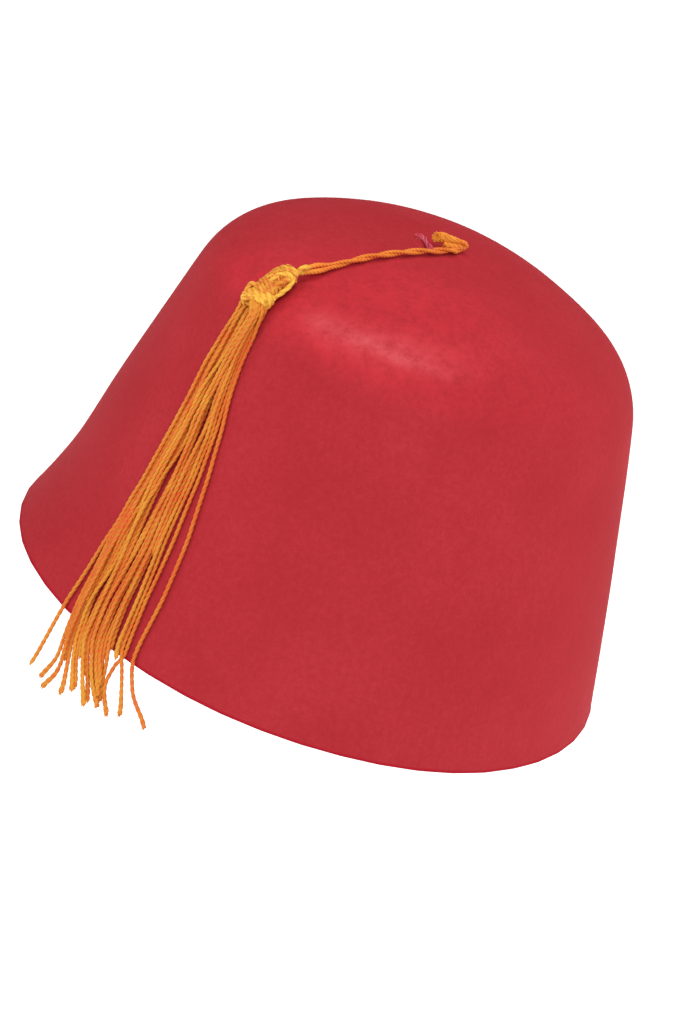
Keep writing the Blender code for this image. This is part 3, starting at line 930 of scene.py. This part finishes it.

# Strands by the picture's pixels: where each crosses these rows, and the pixels of its end from there
# to its tip. A strand of layer 2 lies over one of layer 1 or 0, and one of tone 1 is the most golden. The
# lower layers' darker tones are partly the strands' own and partly painted shade.
strandRows = (310, 330, 360, 395, 430, 480, 540, 600, 640)
strands = {
    "leftStray": {"layer": 2, "tone": 0.5, "columns": (233, 223, 206.5, 189.5, 170, 142.5, 102, 67, 44.5),
                  "end": ((38, 652), (31, 663)), "swell": 1.0},
    "leftEdge": {"layer": 0, "tone": 0.3, "columns": (235.5, 225, 209.5, 193, 175, 147, 109, 79, 63),
                 "end": ((61, 649), (57, 660), (50, 667), (41, 676))},
    "leftSecond": {"layer": 1, "tone": 0.4, "columns": (241, 230.5, 215, 196.5, 178, 150, 114, 84, 67),
                   "end": ((65, 650), (62, 662), (55, 674), (42, 686))},
    "golden": {"layer": 2, "tone": 1.1, "columns": (251, 238.5, 220, 199.5, 181, 152.5, 122, 92, 75.5),
               "end": ((74, 652), (72, 664), (72, 678), (73, 691))},
    "goldenUnder": {"layer": 0, "tone": 0.4, "columns": (246, 234.5, 219, 202, 184.5, 156, 118, 88, 71),
                    "end": ((70, 652), (67, 664), (65, 678), (61, 693))},
    "goldenLow": {"layer": 0, "tone": 0.5, "columns": (249, 237, 219.5, 200.5, 183, 155, 123, 92, 79.5),
                  "end": ((77.5, 649), (76, 656), (75, 666), (76, 677), (76, 688))},
    "goldenSide": {"layer": 2, "tone": 0.9,
                   "columns": (255, 242.5, 225, 206, 188.5, 160.5, 130.5, 101.5, 83.5),
                   "end": ((83, 653), (82.5, 666), (83, 680), (84, 693), (86, 707))},
    "sideUnder": {"layer": 0, "tone": 0.3, "columns": (252, 241, 223, 205, 187.5, 161.5, 134.5, 105.5, 88),
                  "end": ((87.5, 654), (87, 668), (88, 682), (87.5, 694), (87.5, 702))},
    "third": {"layer": 2, "tone": 0.6, "columns": (258, 245.5, 227.5, 209.5, 196, 171.5, 139.5, 110, 92),
              "end": ((92, 656), (91.5, 670), (92, 684), (94, 696), (97, 705))},
    "middleLeft": {"layer": 1, "tone": 0.35,
                   "columns": (256, 244.5, 227.5, 208.5, 197.5, 176.5, 149.5, 116.5, 98.5),
                   "end": ((97.5, 650), (97, 660), (97, 672), (98, 684), (98.5, 697))},
    "middleLow": {"layer": 0, "tone": 0.4, "columns": (256, 244.5, 228, 210, 198, 177, 151, 118.5, 102),
                  "end": ((101, 650), (100.5, 662), (100.5, 674), (101, 686))},
    "rightLow": {"layer": 0, "tone": 0.4, "columns": (260, 248.5, 233.5, 221.5, 208.5, 184, 153, 124.5, 106),
                 "end": ((104.5, 652), (102.5, 662), (100.5, 674), (99.5, 686))},
    "fourthLow": {"layer": 0, "tone": 0.4,
                  "columns": (259.5, 247.5, 233, 220, 207.5, 185.5, 156.5, 128, 113.5),
                  "end": ((111.5, 649),)},
    "middleRight": {"layer": 1, "tone": 0.45,
                    "columns": (260, 248.5, 233.5, 221, 207.5, 182, 153.5, 126, 109.5),
                    "end": ((108, 652), (106, 662), (103.5, 674), (101, 684), (100.5, 692), (100, 701))},
    "rightFourth": {"layer": 2, "tone": 0.8,
                    "columns": (259.5, 247.5, 232.5, 218.5, 206, 184, 158.5, 137, 120),
                    "end": ((116, 650), (117, 657))},
    "rightThird": {"layer": 1, "tone": 0.45, "columns": (261, 249, 234.5, 221, 209, 190, 166, 142, 125.5),
                   "end": ((122, 650), (121, 658), (121.5, 666), (121, 680), (121, 700), (120.5, 715))},
    "rightSecond": {"layer": 1, "tone": 0.3, "columns": (263, 251, 237, 225, 214.5, 198.5, 174, 146, 130),
                    "end": ((127, 649), (124, 656), (121, 662), (117, 664), (113.5, 666), (111, 670),
                            (108, 677), (105, 684), (103.3, 692), (103.5, 700), (105, 708), (108, 716))},
    "rightStray": {"layer": 2, "tone": 0.25,
                   "columns": (263, 250.5, 239, 230, 222, 207.5, 188, 162.5, 141.5),
                   "end": ((136, 652), (133, 659), (132, 665), (131.3, 672), (132, 680), (132, 690),
                           (133, 698), (136, 705), (139, 712), (142, 719), (146, 728)), "swell": 1.2},
}

# Strands under those that show: the one that each follows, how many pixels to its right it lies, and
# how much shorter it is
under = (
    ("leftEdge", 2.0, 12.0 * mm),
    ("leftSecond", 2.5, 24.0 * mm),
    ("goldenUnder", -2.5, 8.0 * mm),
    ("goldenSide", -2.5, 10.0 * mm),
    ("sideUnder", -2.0, 6.0 * mm),
    ("third", 0.5, 30.0 * mm),
    ("middleLeft", -3.0, 3.0 * mm),
    ("middleRight", 4.0, 40.0 * mm),
    ("rightThird", -3.5, 14.0 * mm),
)


def fanStations(look):  # heights from the neck down, evenly spaced along the felt
    top = feltTree.find_nearest(middleOf("neck_binding"))[0].z
    heights = np.arange(top, look["lowest"], -look["searchStep"])
    along = wayAlong(np.array([besideFelt(height, look["azimuth"]) for height in heights]))
    want = np.arange(0, along[-1], look["stationGap"])
    return np.interp(want, along, heights)


def strandPixels(strand, aside=0.0):
    return [(x + aside, y) for x, y in (*zip(strand["columns"], strandRows), *strand["end"])]


def strandPlan(look):  # every strand's pixels, layer, tone, swelling, and how much it is cut short
    seen = [{"swell": look["swell"], "short": 0.0, **strand, "pixels": strandPixels(strand)}
            for strand in strands.values()]
    hidden = [{"swell": look["swell"], "short": short, "layer": 0,
               "tone": strands[leader]["tone"] * look["underShade"],
               "pixels": strandPixels(strands[leader], aside)} for leader, aside, short in under]
    return seen + hidden


def pixelHome(start, pixels, heights, lift, look):
    # the azimuth at each station of a strand from its start at the neck, and the height of its tip
    guess, places = (heights[0], look["azimuthGuess"]), [start]
    for pixel in pixels:
        guess = wallPlace(pixel, np.interp(-guess[0], -heights, lift), guess)
        places.append(guess)
    rows = np.array(places)[::-1]
    return np.interp(heights, rows[:, 0], rows[:, 1]), rows[0, 0]


def settle(across, lift, home, grip, pinned, look):
    # strands push each other apart, lie down on the felt and keep near their own places
    thick = look["threadRadius"] * 2 * look["squash"]
    floor = look["threadRadius"] + look["touch"]
    firstAcross, firstLift = across[:, :pinned].copy(), lift[:, :pinned].copy()
    for _ in range(look["rounds"]):
        across += (home - across) * grip
        lift -= look["fall"]
        for rows in (across, lift):
            rows[:, 1:-1] += look["straighten"] * (rows[:, :-2] + rows[:, 2:] - 2 * rows[:, 1:-1])
        aside = across[:, None] - across[None]
        above = lift[:, None] - lift[None]
        gap = np.sqrt(aside**2 + above**2) + 1e-9
        push = np.clip(thick - gap, 0, None) / gap * look["part"]
        across += (push * aside).sum(1)
        lift += (push * above).sum(1)
        np.maximum(lift, floor, out=lift)
        across[:, :pinned], lift[:, :pinned] = firstAcross, firstLift
    return across, lift


def bundled(columns, layers, flat):
    # places in an oval bundle, from -1 to 1, in the order of the strands below it
    spread = 2 * (columns - columns.min()) / (columns.max() - columns.min()) - 1
    order = 2 * np.argsort(np.argsort(columns)) / (len(columns) - 1) - 1
    aside = (spread + order) / 2
    return aside, (layers - 1) * np.sqrt(1 - flat * aside**2)


def cutStrand(places, heights, tip):  # the places down to the height of the tip
    keep = int(np.searchsorted(-heights, -tip))
    after = min(keep, len(heights) - 1)
    share = (heights[keep - 1] - tip) / max(heights[keep - 1] - heights[after], 1e-6)
    return places[:keep] + [places[keep - 1].lerp(places[after], max(share, 0.2))]


def strandLines(look):
    heights = fanStations(look)
    plan = strandPlan(look)
    spread = chance.uniform(-look["layerSpread"], look["layerSpread"], len(plan))
    layers = np.array([strand["layer"] for strand in plan]) + spread
    aside, up = bundled(np.array([strand["pixels"][0][0] for strand in plan]), layers, look["neckFlat"])
    pinned = look["pins"]

    # metres across from the middle azimuth of each station
    centre = look["azimuth"] + look["azimuthTurn"] * np.clip(heights / mm / 100, 0, 1)
    radius = np.array([math.hypot(*besideFelt(h, c).xy) for h, c in zip(heights, centre)])
    neck = middleOf("neck_binding")
    spot = feltTree.find_nearest(neck)[0]
    neckLift = (neck - spot).length
    neckAt = math.degrees(math.atan2(-spot.x, -spot.y))
    grip = np.where(layers > 0.5, look["topGrip"], look["underGrip"])[:, None]
    wide, thick = look["neckHalf"]
    onFelt = look["liftGuess"] + (layers[:, None] - 1) * look["threadRadius"]
    share = np.clip(np.arange(len(heights)) / look["settled"], 0, 1)
    lift = (neckLift + up[:, None] * thick) * (1 - share) + onFelt * share
    across = np.zeros((len(plan), len(heights)))
    middle = np.radians(neckAt - centre[:pinned]) * radius[:pinned] + look["neckLeft"]
    across[:, :pinned] = middle - aside[:, None] * wide
    for turn in (0, 1):  # the second time round with the lifts that the first one found
        home, tips = across.copy(), []
        for i, strand in enumerate(plan):
            last = pinned - 1
            start = (heights[last], centre[last] + math.degrees(across[i, last] / radius[last]))
            azimuth, tip = pixelHome(start, strand["pixels"], heights, lift[i], look)
            home[i, pinned:] = (np.radians(azimuth - centre) * radius)[pinned:]
            tips.append(tip + strand["short"])
        if turn == 0:
            across[:, pinned:] = home[:, pinned:]
        across, lift = settle(across, lift, home, grip, pinned, look)
    lines = []
    for asides, lifts, tip in zip(across, lift, tips):
        places = [besideFelt(h, c + math.degrees(a / r), off)
                  for h, c, r, a, off in zip(heights, centre, radius, asides, lifts)]
        places = cutStrand(places, heights, tip)
        root = np.array(neck.lerp(places[0], look["rootSpread"])) - tasselDown * look["rootLong"]
        lines.append(curveThrough([root, *places], 6))
    return plan, lines, layers


def makeSkirt(look):
    plan, lines, layers = strandLines(look)
    shares, paler = look["tonesAlong"]
    for name, chosen in (("inner_strands", layers < 0.5), ("outer_strands", layers > 0.5)):
        yarn = Yarn()
        for i in np.flatnonzero(chosen):
            line, swell, tone = lines[i], plan[i]["swell"], plan[i]["tone"] + chance.uniform(-0.1, 0.1)
            swells = 1 - look["swellLong"] / wayAlong(line)[-1]
            yarn.twist(line, look["threadRadius"] * chance.uniform(0.92, 1.06), look["pitch"],
                       (shares, tone + np.array(paler)), turn=chance.uniform(0, fullTurn), perTurn=14,
                       bulk=((0, swells, 1), (1, 1, swell)))
            yarn.fray(line, look["threadRadius"] * swell, tone + look["hairPaler"], look["hairs"],
                      look["hairLength"], look["hairSpread"])
        made = yarn.piece(name, goldThread)
        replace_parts(made, "tassel_skirt")


makeSkirt(skirt)


# Nap of the felt

nap = {
    "fibres": 40000,
    "root": 0.10 * mm,
    "rise": (0.10 * mm, 0.42 * mm),
    "lean": (0.165 * mm, 0.55 * mm),
    "radius": 0.022 * mm,
    "colour": shade(184, 54, 62),
    "colourScale": 300.0,
}


def makeNap(look):
    mesh = moulded.data
    count = len(mesh.polygons)
    area, middle, normal = np.zeros(count), np.zeros(count * 3), np.zeros(count * 3)
    mesh.polygons.foreach_get("area", area)
    mesh.polygons.foreach_get("center", middle)
    mesh.polygons.foreach_get("normal", normal)
    middle, normal = middle.reshape(-1, 3), normal.reshape(-1, 3)
    heart = np.array(feltCrown["heart"])
    outer = np.sum(normal * (middle - heart), axis=1) > 0
    odds = area * outer
    chosen = chance.choice(count, look["fibres"], p=odds / odds.sum())
    corners = np.array([[mesh.vertices[v].co for v in mesh.polygons[i].vertices[:3]] for i in chosen])
    a, b = chance.random((2, look["fibres"], 1))
    spot = corners[:, 0] + (corners[:, 1] - corners[:, 0]) * a + (corners[:, 2] - corners[:, 1]) * a * b
    off = normal[chosen]
    side = unit(np.cross(off, chance.normal(size=off.shape)))
    root = spot - off * look["root"]
    rise = chance.uniform(*look["rise"], (look["fibres"], 1))
    tip = spot + off * rise + side * chance.uniform(*look["lean"], (look["fibres"], 1))
    across = np.cross(off, side)
    angles = np.arange(3) * fullTurn / 3
    foot = [root + look["radius"] * (side * math.cos(t) + across * math.sin(t)) for t in angles]
    points = np.stack([*foot, tip], axis=1).reshape(-1, 3)
    start = np.arange(look["fibres"])[:, None] * 4
    faces = np.concatenate([start + f for f in ((0, 1, 3), (1, 2, 3), (2, 0, 3), (2, 1, 0))])
    finish = Finish("napRed", Roughness=0.8, Specular_IOR_Level=0.1)
    tone = finish.noise(finish.place(), look["colourScale"])
    red = finish.paint(Base_Color=finish.mix(tone, look["colour"], feltCrown["red"]))
    made = addMesh("felt_nap", points.tolist(), faces.tolist(), red)
    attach(made, "root")
    print("felt nap:", len(faces), "faces")


makeNap(nap)
